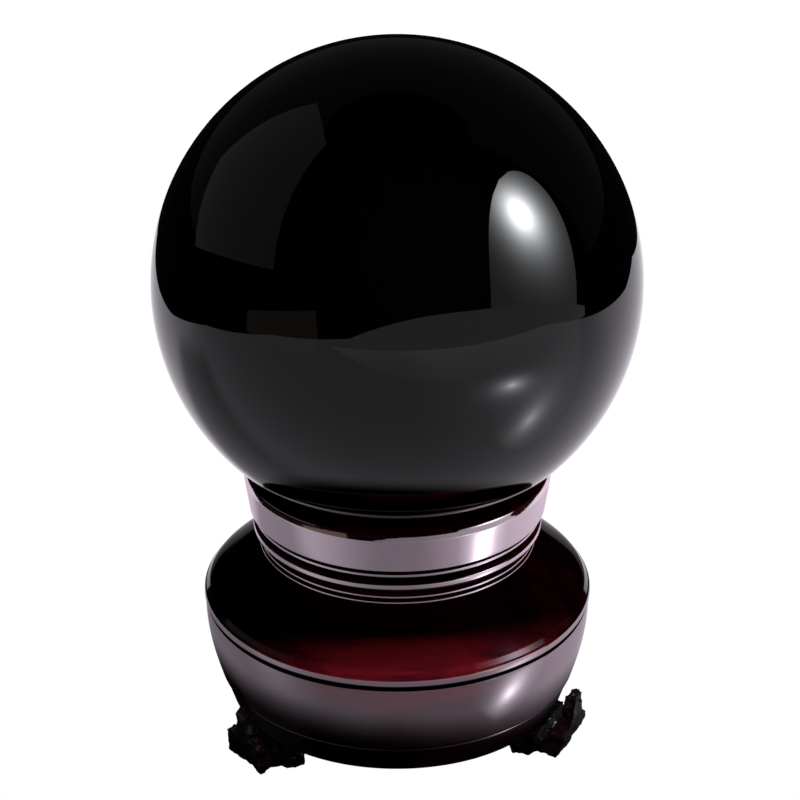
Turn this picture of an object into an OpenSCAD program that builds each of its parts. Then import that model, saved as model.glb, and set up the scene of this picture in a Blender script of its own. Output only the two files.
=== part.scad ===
// Crystal ball on a turned and carved wooden stand.
// The stand is a cup, a drum and three scroll feet, pegged, glued and screwed together.
// The ball only rests in the cup, and lifts straight out of it.
// Frame: +Z up, -Y front, origin on the table under the middle of the stand.

/* [Ball] */
// Diameter of the ball
ball_d = 110; // [100:1:116]

/* [Feet] */
// Height at which the feet carry the drum
foot_h = 6.5; // [5.5:0.5:8]
// Turn of the right foot, measured from the front towards the right
first_foot_turn = 63.5; // [55:0.5:70]
// Angle from the right foot to the rear foot, and from there to the left foot
foot_spacing = 122; // [115:1:125]
// Distance from the stand's axis to the back of a foot
foot_back_r = 33; // [31:0.5:34]
// Distance from the stand's axis to the toe of a foot, at the table
foot_toe_r = 45.4; // [44:0.1:47]
// Width of a foot at its toe
foot_toe_w = 12.6; // [11:0.2:14]
// Width of a foot at its back
foot_back_w = 19.2; // [18:0.2:20]
// Height of the broad scroll, before it narrows to its tip
scroll_shoulder_h = 7.4; // [7:0.1:9]
// Height of the tip of the scroll
scroll_tip_h = 16.2; // [14:0.2:17]
// Width of the tip of the scroll
scroll_tip_w = 5.6; // [5:0.2:7]

/* [Drum] */
// Radius of the drum at its rim
rim_r = 45.6; // [44:0.1:48]
// Radius of the fullest part of the belly
belly_r = 45.3; // [43:0.1:46]
// Radius at the bottom of the belly
waist_r = 42.4; // [41:0.1:43]
// Radius at the bottom of the plinth
plinth_r = 39.8; // [39:0.1:42]
// Height of the plinth
plinth_h = 7.1; // [6:0.1:9]
// Height of the belly
belly_h = 17.6; // [16:0.1:22]
// Height of the groove under the rim
rim_groove_h = 0.8; // [0.6:0.1:1.2]
// Height of the rim
rim_h = 2.3; // [2:0.1:3]
// Rise of the sloping shoulder from the rim to the neck
shoulder_h = 11.3; // [9:0.1:13]

/* [Cup] */
// Radius of the neck where it stands on the drum
neck_r = 32.3; // [31:0.1:33]
// Height of the reeded neck
neck_h = 9.6; // [9:0.1:11]
// Radius at the bottom of the cup's plain face
face_foot_r = 34.4; // [34:0.1:35.5]
// Height of the cup's plain face
face_h = 8; // [7:0.1:10]
// Radius of the lip
lip_r = 35.6; // [35:0.1:37]
// Radius of the round on the outer edge of the lip
lip_round = 2.5; // [2:0.1:3]
// Radius of the circle on which the ball bears
seat_r = 30.5; // [29:0.1:32]

/* [Joinery] */
// Radius of the cup's spigot
spigot_r = 15; // [13:0.5:18]
// Length of the cup's spigot
spigot_l = 8; // [6:0.5:10]
// Diameter of a dowel
dowel_d = 3; // [2.5:0.1:3.5]
// Length of a dowel
dowel_l = 11; // [9:0.5:12]
// Diameter of the screw's shank
screw_d = 4; // [3.5:0.1:5]
// Diameter of the screw's head
screw_head_d = 8; // [7:0.1:9]

/* [Hidden] */
$fn = 96;

ball_r = ball_d / 2;
eps = 0.01;

// Levels above the table, from the bottom up
plinth_top = foot_h + plinth_h;
belly_top = plinth_top + belly_h;
rim_bottom = belly_top + rim_groove_h;
rim_top = rim_bottom + rim_h;
neck_bottom = rim_top + shoulder_h;
face_bottom = neck_bottom + neck_h;
face_top = face_bottom + face_h;
lip_top = face_top + lip_round;

// Seat: a cone that touches a sphere a little larger than the ball
seat_gap = 0.3;
seat_edge_r = lip_r - lip_round;
seat_sphere_r = ball_r + seat_gap;
seat_drop = sqrt(seat_sphere_r * seat_sphere_r - seat_r * seat_r);
seat_slope = seat_r / seat_drop;
ball_z = lip_top - (seat_edge_r - seat_r) * seat_slope + seat_drop;
pocket_r = 26;
pocket_floor_r = 23;
pocket_mouth = lip_top - (seat_edge_r - pocket_r) * seat_slope;
pocket_floor = ball_z - ball_r - 5;

// Reeding of the neck, from the top down
face_round = 0.7;
reed_inset = 1.5;
fillet_h = 0.7;
fillet_z = face_bottom - 1.8;
bead_h = 2.3;
bead_z = face_bottom - 4.5;
cove_h = 1.6;
cove_z = neck_bottom + 2.3;

// Drum: the underside is hollowed, and the cup's spigot has a socket above it
hollow_r = 24;
hollow_top = foot_h + 12;
socket_gap = 0.05;
socket_floor = neck_bottom - spigot_l - 0.5;
rim_round = 0.5;

// Screw: it goes up through the drum into the cup's spigot
screw_gap = 0.05;
screw_l = neck_bottom + 1 - hollow_top;
screw_head_h = 2.6;

// Feet: a block under the plinth, with a scroll that curls up at the toe.
// They are carved by hand, so the tip leans outwards and sideways a little differently on each.
web_h = 4.6;
scroll_t = 3.4;
right_lean = 2.8;
right_tip_shift = -1.6;
left_lean = 1.8;
left_tip_shift = 2.2;
rear_lean = 2.2;
rear_tip_shift = 0.4;
sole_arch_r = 41.2;
sole_arch_w = 5.2;
sole_arch_h = 1.1;
peg_r = 36.3;
peg_pitch = 8;
peg_depth = 4.5;
foot_turns = [first_foot_turn, first_foot_turn + 2 * foot_spacing, first_foot_turn + foot_spacing];

// Points of an arc about [x, y], from angle a to angle b
function arc(x, y, r, a, b, n = 12) = [
    for (i = [0:n]) let (t = a + (b - a) * i / n) [x + r * cos(t), y + r * sin(t)]
];

// Half section of the cup's outside, without its reeding
module cup_outline() {
    polygon(concat(
        [[0, neck_bottom], [neck_r, neck_bottom]],
        [[neck_r, face_bottom - reed_inset], [face_foot_r - face_round, face_bottom - reed_inset / 4]],
        arc(face_foot_r - face_round, face_bottom + face_round, face_round, -80, 0, 4),
        arc(seat_edge_r, face_top, lip_round, 0, 90),
        [[0, lip_top]]
    ));
}

// Half section of the neck's raised bead and of its two fillets
module neck_reeds() {
    translate([neck_r - 1, fillet_z - fillet_h / 2]) square([2.1, fillet_h]);
    translate([neck_r + 0.3, bead_z]) circle(d = bead_h);
    translate([neck_r - 1, bead_z - bead_h / 2]) square([1.3, bead_h]);
    translate([neck_r - 1, neck_bottom]) square([1.3, fillet_h]);
}

// Half section of the dished inside of the cup
module cup_hollow() {
    polygon([
        [0, lip_top + eps],
        [seat_edge_r + eps / seat_slope, lip_top + eps],
        [pocket_r, pocket_mouth],
        [pocket_floor_r, pocket_floor],
        [0, pocket_floor]
    ]);
}

module crystal_ball() {
    color("#050506") translate([0, 0, ball_z]) sphere(r = ball_r, $fn = 128);
}

module ball_cup() {
    color("#5a1620") difference() {
        union() {
            rotate_extrude() difference() {
                union() {
                    cup_outline();
                    neck_reeds();
                }
                translate([neck_r + cove_h / 3, cove_z]) circle(d = cove_h);
                cup_hollow();
            }
            translate([0, 0, neck_bottom - spigot_l]) cylinder(r = spigot_r, h = spigot_l + eps);
        }
        screw_bore();
    }
}

// Half section of the drum's outside
module drum_outline() {
    crown = 1.2;
    rim_edge = rim_r - rim_round;
    polygon(concat(
        [[0, foot_h], [plinth_r, foot_h], [waist_r - 0.4, plinth_top - 0.5]],
        [[waist_r - 0.4, plinth_top]],
        [
            for (i = [0:10]) let (t = i / 10)
            [waist_r + (belly_r - waist_r) * sin(100 * t) / sin(100), plinth_top + belly_h * t]
        ],
        [[rim_r - 1.4, belly_top], [rim_r - 1.4, rim_bottom]],
        arc(rim_edge, rim_bottom + rim_round, rim_round, -90, 0, 3),
        arc(rim_edge, rim_top - rim_round, rim_round, 0, 60, 3),
        [
            for (i = [1:8]) let (t = i / 8)
            [rim_edge + (neck_r - rim_edge) * t, rim_top + shoulder_h * t + crown * sin(180 * t)]
        ],
        [[0, neck_bottom]]
    ));
}

module drum_base() {
    color("#3d0e16") difference() {
        rotate_extrude() drum_outline();
        translate([0, 0, foot_h - eps]) cylinder(r = hollow_r, h = hollow_top - foot_h + eps);
        translate([0, 0, socket_floor]) cylinder(r = spigot_r + socket_gap, h = neck_bottom);
        screw_bore();
        for (turn = foot_turns) foot_pegs(turn);
    }
}

// Hole for the screw's shank, with a countersink for its head
module screw_bore() {
    translate([0, 0, hollow_top]) cylinder(d = screw_d + 2 * screw_gap, h = screw_l + screw_gap);
    translate([0, 0, hollow_top]) screw_head();
    translate([0, 0, foot_h]) cylinder(d = screw_head_d, h = hollow_top - foot_h + eps);
}

module screw_head() {
    cylinder(d1 = screw_head_d, d2 = screw_d, h = screw_head_h);
}

module centre_screw() {
    slot_w = 1.2;
    slot_l = 5;
    slot_depth = 1.4;
    color("#9a9a96") translate([0, 0, hollow_top]) difference() {
        union() {
            screw_head();
            cylinder(d = screw_d, h = screw_l - 3);
            translate([0, 0, screw_l - 3]) cylinder(d1 = screw_d, d2 = 0.6, h = 2.9);
        }
        for (a = [0, 90]) rotate(a) translate([-slot_l / 2, -slot_w / 2, -eps])
            cube([slot_l, slot_w, slot_depth]);
    }
}

// Turns what follows from the front, where the toe points to -Y, to its place round the stand
module at_foot(turn) {
    rotate(turn) rotate(-90) children();
}

// Two pegs that stand half in the plinth and half in a foot
module foot_pegs(turn) {
    at_foot(turn) for (side = [-1, 1]) translate([peg_r, side * peg_pitch / 2, foot_h - peg_depth])
        cylinder(d = dowel_d, h = dowel_l);
}

// Side view of a foot: web, upturned scroll and the notch between the scroll and the plinth
module foot_side_view(lean) {
    tip_out = foot_toe_r + lean;
    polygon([
        [foot_back_r, 0.8],
        [foot_back_r + 1.5, 0],
        [sole_arch_r - sole_arch_w / 2, 0],
        [sole_arch_r - sole_arch_w / 4, sole_arch_h],
        [sole_arch_r + sole_arch_w / 4, sole_arch_h],
        [sole_arch_r + sole_arch_w / 2, 0],
        [foot_toe_r - 0.6, 0],
        [foot_toe_r, 0.8],
        [foot_toe_r + lean * 0.5, 5],
        [foot_toe_r + lean * 0.9, 9.5],
        [tip_out, scroll_tip_h - 0.8],
        [tip_out - 0.9, scroll_tip_h],
        [tip_out - scroll_t + 0.6, scroll_tip_h],
        [tip_out - scroll_t, scroll_tip_h - 2],
        [tip_out - scroll_t - 0.6, 9.5],
        [foot_toe_r - scroll_t + 0.4, web_h + 0.6],
        [foot_toe_r - scroll_t - 0.6, web_h],
        [plinth_r + 0.6, foot_h],
        [foot_back_r, foot_h]
    ]);
}

// Plan of a foot's broad part: it widens from the toe to the back
module foot_plan(lean) {
    corner = 1.6;
    reach = foot_toe_r + lean;
    polygon([
        [foot_back_r, -foot_back_w / 2 + corner],
        [foot_back_r + corner, -foot_back_w / 2],
        [reach - corner, -foot_toe_w / 2],
        [reach, -foot_toe_w / 2 + corner],
        [reach, foot_toe_w / 2 - corner],
        [reach - corner, foot_toe_w / 2],
        [foot_back_r + corner, foot_back_w / 2],
        [foot_back_r, foot_back_w / 2 - corner]
    ]);
}

// End view of a foot: broad below, sloping in at the shoulders to a narrow tip
module foot_end_view(shift) {
    polygon([
        [-foot_back_w, 0],
        [foot_back_w, 0],
        [foot_back_w, foot_h],
        [foot_toe_w / 2, scroll_shoulder_h - 0.6],
        [scroll_tip_w / 2 + shift, scroll_shoulder_h + 2.2],
        [scroll_tip_w / 2 + shift - 0.5, scroll_tip_h + eps],
        [-scroll_tip_w / 2 + shift + 0.5, scroll_tip_h + eps],
        [-scroll_tip_w / 2 + shift, scroll_shoulder_h + 2.2],
        [-foot_toe_w / 2, scroll_shoulder_h - 0.6],
        [-foot_back_w, foot_h]
    ]);
}

module scroll_foot(turn, lean, shift) {
    reach = foot_toe_r + 2 * lean;
    color("#2a0a10") difference() {
        at_foot(turn) intersection() {
            rotate([90, 0, 0]) translate([0, 0, -foot_back_w]) linear_extrude(2 * foot_back_w) foot_side_view(lean);
            linear_extrude(2 * scroll_tip_h) foot_plan(lean);
            rotate([90, 0, 90]) linear_extrude(reach) foot_end_view(shift);
        }
        foot_pegs(turn);
    }
}

module foot_right() {
    scroll_foot(foot_turns[0], right_lean, right_tip_shift);
}

module foot_left() {
    scroll_foot(foot_turns[1], left_lean, left_tip_shift);
}

module foot_rear() {
    scroll_foot(foot_turns[2], rear_lean, rear_tip_shift);
}

module dowels_right() {
    color("#b08a5a") foot_pegs(foot_turns[0]);
}

module dowels_left() {
    color("#b08a5a") foot_pegs(foot_turns[1]);
}

module dowels_rear() {
    color("#b08a5a") foot_pegs(foot_turns[2]);
}

crystal_ball();
ball_cup();
drum_base();
centre_screw();
foot_right();
foot_left();
foot_rear();
dowels_right();
dowels_left();
dowels_rear();
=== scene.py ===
import math

import bmesh
import bpy
from mathutils import Matrix, Vector, noise


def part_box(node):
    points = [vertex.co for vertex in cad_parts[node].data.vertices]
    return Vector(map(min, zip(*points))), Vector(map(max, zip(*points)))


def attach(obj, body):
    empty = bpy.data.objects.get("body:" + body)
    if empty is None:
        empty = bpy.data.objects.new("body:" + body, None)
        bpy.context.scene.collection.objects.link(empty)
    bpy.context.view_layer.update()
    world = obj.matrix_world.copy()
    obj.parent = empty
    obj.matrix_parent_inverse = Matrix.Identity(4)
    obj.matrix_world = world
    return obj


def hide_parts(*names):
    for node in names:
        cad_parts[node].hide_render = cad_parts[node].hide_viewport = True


# A black glass ball that rests on a turned and carved rosewood stand, in metres.
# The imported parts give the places. The turned outlines are worked out in millimetres.

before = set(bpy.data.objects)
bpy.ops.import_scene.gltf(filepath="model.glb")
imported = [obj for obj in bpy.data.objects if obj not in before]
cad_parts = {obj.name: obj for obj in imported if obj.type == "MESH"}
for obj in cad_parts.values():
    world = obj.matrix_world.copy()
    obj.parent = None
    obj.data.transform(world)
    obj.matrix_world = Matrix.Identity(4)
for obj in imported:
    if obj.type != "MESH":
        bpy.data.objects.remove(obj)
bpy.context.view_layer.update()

MM = 0.001

ball_low, ball_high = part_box("crystal_ball")
cup_low, cup_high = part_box("ball_cup")
drum_low, drum_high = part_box("drum_base")
BALL_R = (ball_high.z - ball_low.z) / 2
BALL_CENTRE = Vector((0, 0, ball_low.z + BALL_R))


# ---------------------------------------------------------------- camera

CAMERA_DISTANCE = 0.55
CAMERA_HEIGHT_ANGLE = math.radians(23.08)
CAMERA_PITCH = math.radians(25.83)
CAMERA_YAW = math.radians(0.07)
CAMERA_LENS = 110.4


def make_camera():
    data = bpy.data.cameras.new("camera")
    data.lens = CAMERA_LENS
    data.sensor_width = 36
    camera = bpy.data.objects.new("camera", data)
    bpy.context.scene.collection.objects.link(camera)
    offset = Vector((0, -math.cos(CAMERA_HEIGHT_ANGLE), math.sin(CAMERA_HEIGHT_ANGLE)))
    camera.location = BALL_CENTRE + CAMERA_DISTANCE * offset
    camera.rotation_euler = (math.pi / 2 - CAMERA_PITCH, 0, -CAMERA_YAW)
    bpy.context.scene.camera = camera


# ---------------------------------------------------------------- node helpers


class Shader:
    """A material's node tree, with short calls to add and link nodes.

    A value that is a node's output is linked, and any other value is set on the socket.
    """

    def __init__(self, name):
        self.material = bpy.data.materials.new(name)
        self.material.use_nodes = True
        self.tree = self.material.node_tree
        self.tree.nodes.clear()
        self.output = self.add("ShaderNodeOutputMaterial")

    def add(self, kind, inputs=None, **settings):
        node = self.tree.nodes.new(kind)
        for name, value in settings.items():
            setattr(node, name, value)
        for name, value in (inputs or {}).items():
            if isinstance(value, bpy.types.NodeSocket):
                self.tree.links.new(value, node.inputs[name])
            else:
                node.inputs[name].default_value = value
        return node

    def math(self, operation, a, b=0.0):
        return self.add("ShaderNodeMath", {0: a, 1: b}, operation=operation).outputs[0]

    def ramp(self, value, low, high, to_low=0.0, to_high=1.0):
        """A smooth step: to_low where the value is low or less, to_high where it is high or more."""
        inputs = {"Value": value, "From Min": low, "From Max": high, "To Min": to_low, "To Max": to_high}
        return self.add("ShaderNodeMapRange", inputs, interpolation_type="SMOOTHSTEP").outputs[0]

    def mix(self, factor, a, b):
        inputs = {0: factor, 6: a, 7: b}
        return self.add("ShaderNodeMix", inputs, data_type="RGBA").outputs[2]

    def here(self):
        """The shaded point, in the object's own coordinates."""
        return self.add("ShaderNodeTexCoord").outputs["Object"]

    def place(self, scale=(1, 1, 1), turn=(0, 0, 0)):
        """The shaded point, stretched and turned to lay out a texture."""
        inputs = {"Vector": self.here(), "Rotation": turn, "Scale": scale}
        return self.add("ShaderNodeMapping", inputs).outputs[0]

    def axes(self, vector):
        """A vector's X, Y and Z."""
        return self.add("ShaderNodeSeparateXYZ", {0: vector}).outputs

    def noise(self, vector, scale, detail=2.0, roughness=0.5):
        inputs = {"Vector": vector, "Scale": scale, "Detail": detail, "Roughness": roughness}
        return self.add("ShaderNodeTexNoise", inputs).outputs[0]

    def bump(self, height, strength, distance):
        inputs = {"Height": height, "Strength": strength, "Distance": distance}
        return self.add("ShaderNodeBump", inputs).outputs[0]

    def distance_from(self, place, centre, squeeze=(1, 1, 1)):
        """Distance to a centre, with each axis shortened by its share of squeeze."""
        offset = self.add("ShaderNodeVectorMath", {0: place, 1: centre}, operation="SUBTRACT").outputs[0]
        squeezed = self.add("ShaderNodeVectorMath", {0: offset, 1: squeeze}, operation="MULTIPLY").outputs[0]
        return self.add("ShaderNodeVectorMath", {0: squeezed}, operation="LENGTH").outputs["Value"]

    def reach_along(self, place, way):
        """How far a place lies in a direction."""
        return self.add("ShaderNodeVectorMath", {0: place, 1: way}, operation="DOT_PRODUCT").outputs["Value"]

    def surface(self, **inputs):
        named = {name.replace("_", " "): value for name, value in inputs.items()}
        bsdf = self.add("ShaderNodeBsdfPrincipled", named)
        return self.show(bsdf)

    def emission(self, colour, strength):
        return self.show(self.add("ShaderNodeEmission", {"Color": colour, "Strength": strength}))

    def show(self, node):
        self.tree.links.new(node.outputs[0], self.output.inputs["Surface"])
        return self.material


def rgb(r, g, b):
    return (r, g, b, 1.0)


# ---------------------------------------------------------------- materials


def black_glass():
    """Opaque glass with a mirror polish, a faint smear and patches of fine dust."""
    s = Shader("black_glass")
    here = s.place()
    smear = s.noise(s.place(scale=(1, 1, 2.5)), 40, detail=4)
    roughness = s.ramp(smear, 0.35, 0.75, 0.012, 0.03)
    speck = s.add("ShaderNodeTexVoronoi", {"Vector": here, "Scale": 260}).outputs["Distance"]
    dust = s.ramp(speck, 0.035, 0.06, 1.0, 0.0)
    patch = s.ramp(s.noise(here, 30), 0.6, 0.75)
    colour = s.mix(s.math("MULTIPLY", dust, patch), rgb(0.0001, 0.0001, 0.0001), rgb(0.05, 0.05, 0.05))
    normal = s.bump(s.noise(here, 900), 0.02, 0.02 * MM)
    return s.surface(Base_Color=colour, Roughness=roughness, IOR=1.5, Specular_IOR_Level=0.25, Normal=normal)


def grain(s):
    """Fine straight grain with a slow drift of tone, from 0 dark to 1 pale."""
    along = s.place(scale=(0.1, 1, 1), turn=(0.05, 0.1, 0.12))
    drift = s.noise(along, 110, detail=5, roughness=0.65)
    fibre = s.noise(along, 900, detail=4, roughness=0.65)
    return s.ramp(s.math("ADD", s.math("MULTIPLY", drift, 0.65), s.math("MULTIPLY", fibre, 0.35)), 0.4, 0.62)


def lacquered_wood(name, red, dark, front_ior, side_ior, front_half):
    """Turned rosewood under a wine-red lacquer.

    How much the lacquer mirrors varies over the stand. It grows towards the left and right, from
    front_half millimetres outwards, and is higher above the belly. It is least on upward slopes, near
    the table and in grooves.
    """
    s = Shader(name)
    height = s.axes(s.here())["Z"]
    aside = s.math("ABSOLUTE", s.axes(s.here())["X"])
    up = s.axes(s.add("ShaderNodeNewGeometry").outputs["Normal"])["Z"]
    groove = s.ramp(s.add("ShaderNodeAttribute", attribute_name="crevice").outputs["Fac"], 0.15, 0.8)

    # Painted shade: the colour goes nearly black down in the grooves.
    colour = s.mix(groove, s.mix(grain(s), dark, red), rgb(0.002, 0.0003, 0.0005))
    # Painted shade: faces that look upwards keep only about a third of their colour.
    painted_top_shade = s.mix(0.65, colour, rgb(0, 0, 0))
    colour = s.mix(s.ramp(up, 0.45, 0.7), colour, painted_top_shade)
    # Painted shade: the plinth, below about 13.5 mm, is nearly black.
    painted_plinth_shade = rgb(0.008, 0.0008, 0.002)
    colour = s.mix(s.ramp(height, 12.5 * MM, 14.5 * MM), painted_plinth_shade, colour)

    side_gain = s.ramp(aside, front_half * MM, (front_half + 30) * MM, front_ior, side_ior)
    above_belly_gain = s.ramp(height, 31 * MM, 32 * MM, 0.0, 0.45)
    slope_polish = s.ramp(up, 0.44, 0.62, 1.0, 0.0005)
    level = s.math("ADD", height, s.math("MULTIPLY", aside, 0.35))
    level_polish = s.ramp(level, 11 * MM, 29 * MM, 0.04, 1.0)
    groove_polish = s.ramp(groove, 0.0, 0.9, 1.0, 0.03)
    polish = s.math("MULTIPLY", s.math("MULTIPLY", slope_polish, level_polish), groove_polish)

    peel = s.noise(s.place(), 420, detail=3)
    pores = s.ramp(s.noise(s.place(scale=(0.1, 1, 1), turn=(0.05, 0.1, 0.3)), 1500, detail=3), 0.3, 0.42)
    relief = s.math("ADD", s.math("MULTIPLY", pores, 0.3), peel)
    smear = s.noise(s.place(scale=(1, 1, 3)), 55, detail=4)
    return s.surface(
        Base_Color=colour,
        Roughness=s.ramp(smear, 0.35, 0.7, 0.03, 0.11),
        IOR=s.math("ADD", side_gain, above_belly_gain),
        Specular_IOR_Level=s.math("MULTIPLY", polish, 0.5),
        Specular_Tint=rgb(1, 0.85, 0.95),
        Normal=s.bump(relief, 0.2, 0.04 * MM),
    )


def carved_wood():
    """The feet: rough chiselled wood, stained nearly black and only thinly varnished."""
    s = Shader("carved_rosewood")
    tone = grain(s)
    # Sharp edges are lighter and redder: partly worn varnish, partly a painted highlight.
    edge = s.ramp(s.add("ShaderNodeNewGeometry").outputs["Pointiness"], 0.52, 0.6)
    colour = s.mix(tone, rgb(0.0006, 0.0003, 0.0004), rgb(0.003, 0.0005, 0.0008))
    colour = s.mix(edge, colour, rgb(0.008, 0.0006, 0.001))
    cuts = s.noise(s.place(), 700, detail=4, roughness=0.7)
    normal = s.bump(cuts, 0.6, 0.15 * MM)
    varnish = s.ramp(s.noise(s.place(), 240, detail=2), 0.56, 0.62)
    return s.surface(
        Base_Color=colour,
        Roughness=0.5,
        IOR=1.5,
        Specular_IOR_Level=0.04,
        Coat_Weight=s.math("MULTIPLY", varnish, 0.12),
        Coat_Roughness=0.12,
        Coat_IOR=1.8,
        Normal=normal,
    )


def plain_steel():
    """Zinc-plated steel, with faint turning marks round it."""
    s = Shader("screw_steel")
    turned = s.noise(s.place(scale=(1, 1, 20)), 500, detail=3)
    roughness = s.ramp(turned, 0.3, 0.7, 0.25, 0.5)
    colour = s.mix(turned, rgb(0.42, 0.41, 0.38), rgb(0.62, 0.61, 0.58))
    return s.surface(Base_Color=colour, Metallic=1.0, Roughness=roughness)


def plain_wood():
    """Bare pale wood, with its fibre along the dowel."""
    s = Shader("dowel_wood")
    fibre = s.noise(s.place(scale=(1, 1, 0.05)), 1800, detail=4)
    colour = s.mix(fibre, rgb(0.3, 0.17, 0.08), rgb(0.55, 0.38, 0.22))
    normal = s.bump(fibre, 0.3, 0.05 * MM)
    return s.surface(Base_Color=colour, Roughness=0.7, Normal=normal)


# ---------------------------------------------------------------- mesh helpers


def rounded_outline(corners, steps=6):
    """Points of an outline of (r, z, rounding) corners, with each rounded corner drawn as an arc."""
    points = []
    count = len(corners)
    for i, (r, z, rounding) in enumerate(corners):
        here = Vector((r, z))
        if rounding == 0 or i in (0, count - 1):
            points.append(here)
            continue
        back = Vector(corners[i - 1][:2]) - here
        ahead = Vector(corners[i + 1][:2]) - here
        turn = back.angle(ahead) / 2
        reach = min(rounding / math.tan(turn), 0.48 * back.length, 0.48 * ahead.length)
        radius = reach * math.tan(turn)
        bisector = (back.normalized() + ahead.normalized()).normalized()
        centre = here + bisector * radius / math.sin(turn)
        start = here + back.normalized() * reach - centre
        finish = here + ahead.normalized() * reach - centre
        sweep = start.angle_signed(finish)
        for k in range(steps + 1):
            angle = -sweep * k / steps
            points.append(centre + Matrix.Rotation(angle, 2) @ start)
    return points


def subdivided(points, longest):
    """The same outline with points added so that no step is longer than longest."""
    result = [points[0]]
    for a, b in zip(points, points[1:]):
        pieces = max(1, math.ceil((b - a).length / longest))
        result += [a.lerp(b, k / pieces) for k in range(1, pieces + 1)]
    return result


def crevice_depths(outline, reach=1.3, full=0.7):
    """How deep each point lies in a groove of the outline, from 0 outside to 1 at its bottom."""
    depths = []
    for here in outline:
        below = [p.x for p in outline if -reach < p.y - here.y < 0]
        above = [p.x for p in outline if 0 < p.y - here.y < reach]
        walls = min(max(below, default=here.x), max(above, default=here.x))
        depths.append(min(1.0, max(0.0, (walls - here.x) / full)))
    return depths


def lathe(name, outline, wobble, segments=288):
    """A closed turned solid. The outline starts and ends on the axis, in millimetres.

    The wobble is how far its radius wanders, and "crevice" keeps how deep each point lies in a groove.
    """
    mesh = bpy.data.meshes.new(name)
    work = bmesh.new()
    layer = work.verts.layers.float.new("crevice")
    rows = []
    for (r, z), depth in zip(outline, crevice_depths(outline)):
        if r < 1e-6:
            rows.append([work.verts.new((0, 0, z * MM))])
            rows[-1][0][layer] = depth
            continue
        row = []
        for k in range(segments):
            angle = 2 * math.pi * k / segments
            way = Vector((math.cos(angle), math.sin(angle), 0))
            sway = noise.noise(way * 1.6 + Vector((0, 0, z * 0.07))) * wobble
            row.append(work.verts.new((way * (r + sway) + Vector((0, 0, z))) * MM))
            row[-1][layer] = depth
        rows.append(row)
    for low, high in zip(rows, rows[1:]):
        for k in range(segments):
            after = (k + 1) % segments
            if len(low) == 1:
                work.faces.new((low[0], high[after], high[k]))
            elif len(high) == 1:
                work.faces.new((low[k], low[after], high[0]))
            else:
                work.faces.new((low[k], low[after], high[after], high[k]))
    bmesh.ops.recalc_face_normals(work, faces=work.faces)
    work.to_mesh(mesh)
    work.free()
    return finished(name, mesh)


def finished(name, mesh):
    """A smooth-shaded object in the scene, made from a mesh."""
    for face in mesh.polygons:
        face.use_smooth = True
    piece = bpy.data.objects.new(name, mesh)
    bpy.context.scene.collection.objects.link(piece)
    return piece


def coat(piece, material):
    piece.data.materials.clear()
    piece.data.materials.append(material)


def dress(piece, material, body, node):
    """Gives a piece its material, ties it to its body and hides the CAD node it stands for."""
    coat(piece, material)
    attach(piece, body)
    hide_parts(node)


# ---------------------------------------------------------------- the ball


def make_ball():
    mesh = bpy.data.meshes.new("ball_glass")
    work = bmesh.new()
    bmesh.ops.create_icosphere(work, subdivisions=7, radius=BALL_R)
    bmesh.ops.translate(work, verts=work.verts, vec=BALL_CENTRE)
    work.to_mesh(mesh)
    work.free()
    return finished("ball_glass", mesh)


# ---------------------------------------------------------------- turned pieces

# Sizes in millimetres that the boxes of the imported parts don't give
SPIGOT_R = 15
SPIGOT_L = 8
SOCKET_GAP = 0.05
SCREW_HOLE_R = 2.1
NECK_R = 32.3
NECK_H = 9.6
FACE_FOOT_R = 34.4
LIP_R = 35.6
LIP_ROUND = 2.5
SEAT_EDGE_R = 33.1
PLINTH_R = 39.8
PLINTH_H = 7.1
WAIST_R = 42.4
BELLY_SWELL = 2.9
BELLY_SWEEP = math.radians(100)
BELLY_H = 17.6
RIM_GROOVE_R = 44.0
RIM_GROOVE_H = 0.8
RIM_H = 2.3
HOLLOW_R = 24
HOLLOW_H = 12


def neck_outline(base):
    """The reeded neck, from the drum up to the cup's plain face."""
    foot_fillet = [(NECK_R, base, 0.25), (NECK_R, base + 0.6, 0.25)]
    low_groove = [(31.2, base + 0.9, 0.15), (31.2, base + 1.2, 0.15)]
    ridge = [(32.2, base + 1.45, 0.2), (32.2, base + 1.95, 0.2)]
    cove = [(30.9, base + 2.5, 0.5), (31.1, base + 3.4, 0.6)]
    bead_foot = [(33.0, base + 4.0, 0.2), (33.7, base + 4.4, 0.8)]
    bead_top = [(33.75, base + 5.8, 0.8), (33.0, base + 6.2, 0.2)]
    high_groove = [(31.9, base + 6.5, 0.2), (31.9, base + 7.3, 0.2)]
    fillet = [(33.5, base + 7.6, 0.2), (33.5, base + 8.3, 0.2), (32.3, base + 8.6, 0.2)]
    return foot_fillet + low_groove + ridge + cove + bead_foot + bead_top + high_groove + fillet


def cup_outline():
    base = cup_low.z / MM + SPIGOT_L
    top = cup_high.z / MM
    face_foot = base + NECK_H
    face_top = top - LIP_ROUND
    floor = ball_low.z / MM - 5
    screw_hole_top = drum_high.z / MM + 1.1
    return rounded_outline([
        (0, screw_hole_top, 0),
        (SCREW_HOLE_R, screw_hole_top, 0.2),
        (SCREW_HOLE_R, base - SPIGOT_L, 0.2),
        (SPIGOT_R, base - SPIGOT_L, 0.4),
        (SPIGOT_R, base, 0.1),
        *neck_outline(base),
        (32.4, face_foot - 0.55, 0.2),
        (FACE_FOOT_R, face_foot - 0.2, 0.5),
        (LIP_R, face_top, 0.6),
        (LIP_R - 0.5, top - 0.9, 1.2),
        (SEAT_EDGE_R, top, 0.6),
        (26, top - 4.75, 0.8),
        (23, floor, 3),
        (0, floor, 0),
    ])


def belly_outline(bottom, steps=12):
    """The full curve of the belly, widest near its top."""
    belly = []
    for i in range(steps + 1):
        t = i / steps
        swell = BELLY_SWELL * math.sin(BELLY_SWEEP * t) / math.sin(BELLY_SWEEP)
        rounding = 0.5 if i in (0, steps) else 0
        belly.append((WAIST_R + swell, bottom + BELLY_H * t, rounding))
    return belly


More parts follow.
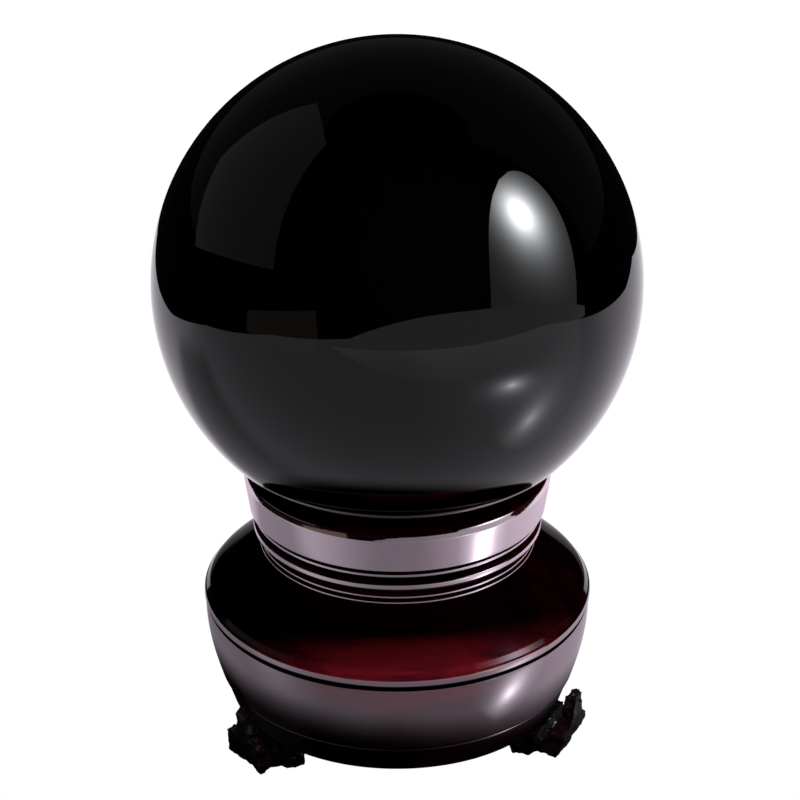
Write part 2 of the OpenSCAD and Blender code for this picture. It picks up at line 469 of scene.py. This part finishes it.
def shoulder_outline(edge_r, bottom, top, steps=12):
    """The slope from the rim to the neck: it swells just inside the rim and straightens higher up."""
    shoulder = []
    for i in range(1, steps):
        t = i / steps
        swell = 0.9 * (1 - t) * (1 - math.exp(-t / 0.09))
        shoulder.append((edge_r + (NECK_R - edge_r) * t, bottom + (top - bottom) * t + swell, 0))
    return shoulder


def drum_outline():
    base = drum_low.z / MM
    top = drum_high.z / MM
    rim_r = drum_high.x / MM
    rim_edge_r = rim_r - 0.5
    plinth_top = base + PLINTH_H
    belly_top = plinth_top + BELLY_H
    rim_foot = belly_top + RIM_GROOVE_H
    rim_top = rim_foot + RIM_H
    socket_r = SPIGOT_R + SOCKET_GAP
    socket_floor = top - SPIGOT_L - 0.5
    return rounded_outline([
        (0, base + HOLLOW_H, 0),
        (HOLLOW_R, base + HOLLOW_H, 0.8),
        (HOLLOW_R, base, 0.5),
        (PLINTH_R, base, 0.7),
        (WAIST_R - 0.5, plinth_top - 0.6, 0.3),
        (WAIST_R - 0.5, plinth_top - 0.25, 0.1),
        *belly_outline(plinth_top),
        (RIM_GROOVE_R, belly_top + 0.15, 0.2),
        (RIM_GROOVE_R, rim_foot - 0.1, 0.2),
        (rim_r - 0.2, rim_foot, 0.4),
        (rim_r, rim_foot + 0.5, 0.6),
        (rim_r, rim_top - 0.6, 0.8),
        (rim_edge_r, rim_top, 0.6),
        *shoulder_outline(rim_edge_r, rim_top, top),
        (NECK_R, top, 0.2),
        (socket_r, top, 0.2),
        (socket_r, socket_floor, 0.2),
        (0, socket_floor, 0),
    ])


# ---------------------------------------------------------------- carved feet


CARVING_VOXEL = 0.32 * MM


def gouge(place, pitch, offset):
    """Overlapping cuts about a pitch apart: 1 at the middle of each cut, with sharp ridges between."""
    nearest = noise.voronoi(place / pitch + offset)[0][0]
    return 1 - min(1.0, nearest / 0.75) ** 2


def chisel_depth(place, offset):
    """Broad scoops with small nicks over them."""
    scoop = gouge(place, 2.6 * MM, offset)
    nick = gouge(place, 1.1 * MM, offset)
    return (0.55 * scoop + 0.22 * nick) * MM


def carved_foot(node, seed):
    """A foot with the block's shape and a hand-chiselled surface, cut into it."""
    name = "carved_" + node
    block = bpy.data.objects.new(name + "_block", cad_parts[node].data.copy())
    bpy.context.scene.collection.objects.link(block)
    remesh = block.modifiers.new("remesh", "REMESH")
    remesh.mode = "VOXEL"
    remesh.voxel_size = CARVING_VOXEL
    shaped = block.evaluated_get(bpy.context.evaluated_depsgraph_get())
    mesh = bpy.data.meshes.new_from_object(shaped)
    bpy.data.objects.remove(block)
    offset = Vector((seed, 2.7 * seed, 5.1 * seed))
    cuts = [vertex.normal * chisel_depth(vertex.co, offset) for vertex in mesh.vertices]
    for vertex, cut in zip(mesh.vertices, cuts):
        vertex.co -= cut
    mesh.name = name
    return finished(name, mesh)


# ---------------------------------------------------------------- studio


def toward(azimuth, elevation, distance):
    """A place at that bearing from the ball: azimuth from the front towards the right."""
    a = math.radians(azimuth)
    e = math.radians(elevation)
    way = Vector((math.sin(a) * math.cos(e), -math.cos(a) * math.cos(e), math.sin(e)))
    return BALL_CENTRE + distance * way


def stage_mesh(name, rows, material, seen=False):
    """A sheet through rows of points, as part of the studio. It shows in mirrors and lights nothing."""
    mesh = bpy.data.meshes.new(name)
    work = bmesh.new()
    grid = [[work.verts.new(point) for point in row] for row in rows]
    for low, high in zip(grid, grid[1:]):
        for k in range(len(low) - 1):
            work.faces.new((low[k], low[k + 1], high[k + 1], high[k]))
    work.to_mesh(mesh)
    work.free()
    sheet = finished(name, mesh)
    sheet.data.materials.append(material)
    sheet.visible_camera = seen
    sheet.visible_shadow = False
    sheet.visible_diffuse = False
    return sheet


SHADOW_AZIMUTH = math.radians(-100)
GLEAM_PLACE = (0.184, -0.162, 0)


def shadow_band(s, place):
    """The ball's shadow on the board, from 0 outside to 1 in its middle."""
    along_way = (math.sin(SHADOW_AZIMUTH), -math.cos(SHADOW_AZIMUTH), 0)
    across_way = (along_way[1], -along_way[0], 0)
    along = s.reach_along(place, along_way)
    across = s.reach_along(place, across_way)
    band = s.ramp(s.math("ABSOLUTE", across), 30 * MM, 66 * MM, 1.0, 0.0)
    band = s.math("MULTIPLY", band, s.ramp(along, 0.0, 30 * MM))
    return s.math("MULTIPLY", band, s.ramp(along, 210 * MM, 320 * MM, 1.0, 0.0))


def floor_brightness(s):
    """How bright the board looks in mirrors: painted light that brightens it to the right and back, painted
    shade round the stand, the ball's painted shadow and a painted gleam.
    """
    place = s.here()
    axes = s.axes(place)
    light = s.math("ADD", s.ramp(axes["X"], 0.0, 0.16, 0.7, 0.92), s.ramp(axes["Y"], 0.0, 0.12, 0.0, 0.3))
    shade = s.math("SUBTRACT", 1.0, s.math("MULTIPLY", shadow_band(s, place), 0.5))
    # Painted shade: the board is dark round the foot of the stand.
    beyond_painted_shade = s.ramp(s.distance_from(place, (-4 * MM, -3 * MM, 0)), 44 * MM, 66 * MM)
    board = s.math("MULTIPLY", s.math("MULTIPLY", light, shade), beyond_painted_shade)
    # Painted highlight: a bright gleam painted on the board, to the front right.
    fall = s.math("MULTIPLY", s.distance_from(place, GLEAM_PLACE), -60.0)
    gleam = s.math("MULTIPLY", s.math("EXPONENT", fall), 16.0)
    return s.math("ADD", board, gleam)


def table_white():
    """White board: plain white to the camera from above, clear from below, and light grey in mirrors."""
    s = Shader("table_white")
    mirrored = s.add("ShaderNodeBsdfPrincipled", {
        "Base Color": rgb(0, 0, 0),
        "Roughness": 0.09,
        "IOR": 1.5,
        "Emission Color": rgb(0.98, 0.93, 1.01),
        "Emission Strength": floor_brightness(s),
    })
    above = s.add("ShaderNodeEmission", {"Color": rgb(1, 1, 1), "Strength": 1.0})
    below = s.add("ShaderNodeBsdfTransparent")
    is_below = s.add("ShaderNodeNewGeometry").outputs["Backfacing"]
    seen = s.add("ShaderNodeMixShader", {0: is_below, 1: above.outputs[0], 2: below.outputs[0]})
    is_seen = s.add("ShaderNodeLightPath").outputs["Is Camera Ray"]
    return s.show(s.add("ShaderNodeMixShader", {0: is_seen, 1: mirrored.outputs[0], 2: seen.outputs[0]}))


def make_table():
    """The board that the stand is on. Its edges run closer together towards the back."""
    left = [(-0.78, -3.0), (-0.69, -0.48), (-0.45, 0), (-0.3, 0.15), (-0.2, 0.36)]
    right = [(1.2, -3.0), (0.8, -0.3), (0.51, 0.05), (0.38, 0.23), (0.37, 0.36)]
    rows = [[Vector((*a, 0)), Vector((*b, 0))] for a, b in zip(left, right)]
    stage_mesh("table", rows, table_white(), seen=True)


def glow(name, strength, colour=(1, 1, 1)):
    return Shader(name).emission(rgb(*colour), strength)


def make_paper_edge():
    """Paper that stands up from the board beyond the camera. Its top edge has a crest to the right."""
    crest = 20
    distance = 0.92
    steps = 60
    low = []
    high = []
    for k in range(steps + 1):
        azimuth = -40 + 130 * k / steps
        width = 12.3 if azimuth < crest else 17.5
        rise = 8.2 - ((azimuth - crest) / width) ** 2
        low.append(toward(azimuth, -11, distance))
        high.append(toward(azimuth, max(rise, -10.5), distance))
    stage_mesh("paper_edge", [low, high], glow("paper_edge_glow", 0.7, (0.98, 0.94, 1)))


SOFTBOX_DISTANCE = 1.0
# Azimuth and elevation of its brightest point
SOFTBOX_CORE = (74, 35)


def softbox_glow():
    """A bright core near the top that fades downwards."""
    s = Shader("softbox_glow")
    core = toward(*SOFTBOX_CORE, SOFTBOX_DISTANCE)
    distance = s.distance_from(s.here(), core, squeeze=(1, 1, 0.66))
    bright = s.math("MULTIPLY", s.math("EXPONENT", s.math("MULTIPLY", distance, -15.0)), 165.0)
    return s.emission(rgb(0.95, 0.97, 1), s.math("ADD", bright, 0.5))


def make_softbox():
    """Straight at the bottom, and rounded at the top like an arch that leans to the right."""
    rows = []
    for i in range(33):
        t = i / 32
        elevation = -8 + 57 * t
        half = (22 + 6 * t) * math.sqrt(1 - t ** 5)
        middle = 63 + 17 * t ** 1.5
        spread = [middle - half, middle, middle + half]
        rows.append([toward(azimuth, elevation, SOFTBOX_DISTANCE) for azimuth in spread])
    stage_mesh("softbox", rows, softbox_glow())


def make_window():
    """A dim window to the left."""
    distance = 1.1
    low = [toward(-60, 17, distance), toward(-108, 3, distance), toward(-128, 19, distance)]
    high = [toward(-97, 64, distance), toward(-122, 60, distance), toward(-140, 51, distance)]
    stage_mesh("window", [low, high], glow("window_glow", 0.2, (1, 0.96, 0.98)))


def make_cupboard():
    """A dim brown panel, low on the left beyond the board."""
    distance = 1.4
    low = [toward(-69, -10, distance), toward(-52, -10, distance), toward(-34, -6, distance)]
    high = [toward(-69, -2, distance), toward(-52, 3, distance), toward(-36, 7, distance)]
    stage_mesh("cupboard", [low, high], glow("cupboard_glow", 0.22, (1, 0.82, 0.66)))


def make_backdrop():
    """The dim wall behind, which shows along the top edge of the ball."""
    rows = [[toward(azimuth, elevation, 1.3) for azimuth in range(100, 270, 20)] for elevation in (5, 62)]
    stage_mesh("backdrop", rows, glow("backdrop_glow", 0.035))


def area_light(name, place, size, power, target=BALL_CENTRE, spread=180):
    """A soft lamp that lights surfaces but isn't mirrored in them. Its size is in metres."""
    data = bpy.data.lights.new(name, "AREA")
    data.size = size
    data.spread = math.radians(spread)
    data.energy = power
    lamp = bpy.data.objects.new(name, data)
    bpy.context.scene.collection.objects.link(lamp)
    lamp.location = place
    lamp.rotation_euler = (target - place).to_track_quat("-Z", "Y").to_euler()
    lamp.visible_glossy = False
    lamp.visible_camera = False


def make_world():
    """White where the camera looks past the board, and nearly black to everything else."""
    world = bpy.data.worlds.new("studio")
    bpy.context.scene.world = world
    world.use_nodes = True
    tree = world.node_tree
    tree.nodes.clear()
    output = tree.nodes.new("ShaderNodeOutputWorld")
    mix = tree.nodes.new("ShaderNodeMixShader")
    path = tree.nodes.new("ShaderNodeLightPath")
    dark = tree.nodes.new("ShaderNodeBackground")
    dark.inputs["Color"].default_value = rgb(0.004, 0.004, 0.004)
    pale = tree.nodes.new("ShaderNodeBackground")
    pale.inputs["Color"].default_value = rgb(1, 1, 1)
    pale.inputs["Strength"].default_value = 1.05
    tree.links.new(path.outputs["Is Camera Ray"], mix.inputs[0])
    tree.links.new(dark.outputs[0], mix.inputs[1])
    tree.links.new(pale.outputs[0], mix.inputs[2])
    tree.links.new(mix.outputs[0], output.inputs["Surface"])


def make_studio():
    make_world()
    make_table()
    make_paper_edge()
    make_softbox()
    make_window()
    make_cupboard()
    make_backdrop()
    area_light("top_light", Vector((0.2, -0.8, 0.85)), 0.4, 0.6)
    area_light("bounce_light", Vector((0.46, -0.02, -0.1)), 0.15, 0.85, Vector((0, 0, 0.04)))
    area_light("under_light", Vector((0.1, 0, -0.4)), 0.3, 0.1, Vector((0, 0, 0)))
    area_light("front_light", toward(8, 67.5, 0.32), 0.035, 0.065, Vector((0.008, -0.041, 0.036)), 17)
    bpy.context.scene.view_settings.view_transform = "Standard"


# ---------------------------------------------------------------- assembly

make_camera()
make_studio()

wine = rgb(0.055, 0.0025, 0.004)
dark_wine = rgb(0.012, 0.0006, 0.003)
# Painted light: the cup's red is painted about four times brighter than the drum's, on the same rosewood.
painted_lit_cup_wine = rgb(0.24, 0.01, 0.016)
rosewood = lacquered_wood("turned_rosewood", wine, dark_wine, 1.8, 3.8, 15)
cup_wood = lacquered_wood("cup_rosewood", painted_lit_cup_wine, dark_wine, 2.25, 7.5, 3)
carved = carved_wood()

dress(make_ball(), black_glass(), "ball", "crystal_ball")
cup = lathe("turned_cup", subdivided(cup_outline(), 0.8), wobble=0.05)
dress(cup, cup_wood, "stand", "ball_cup")
drum = lathe("turned_drum", subdivided(drum_outline(), 0.8), wobble=0.08)
dress(drum, rosewood, "stand", "drum_base")

for seed, node in enumerate(("foot_right", "foot_left", "foot_rear")):
    foot = carved_foot(node, seed)
    # The feet don't show in the lacquer or in the ball
    foot.visible_glossy = False
    dress(foot, carved, "stand", node)

dowel_wood = plain_wood()
for node in ("dowels_right", "dowels_left", "dowels_rear"):
    coat(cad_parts[node], dowel_wood)
coat(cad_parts["centre_screw"], plain_steel())
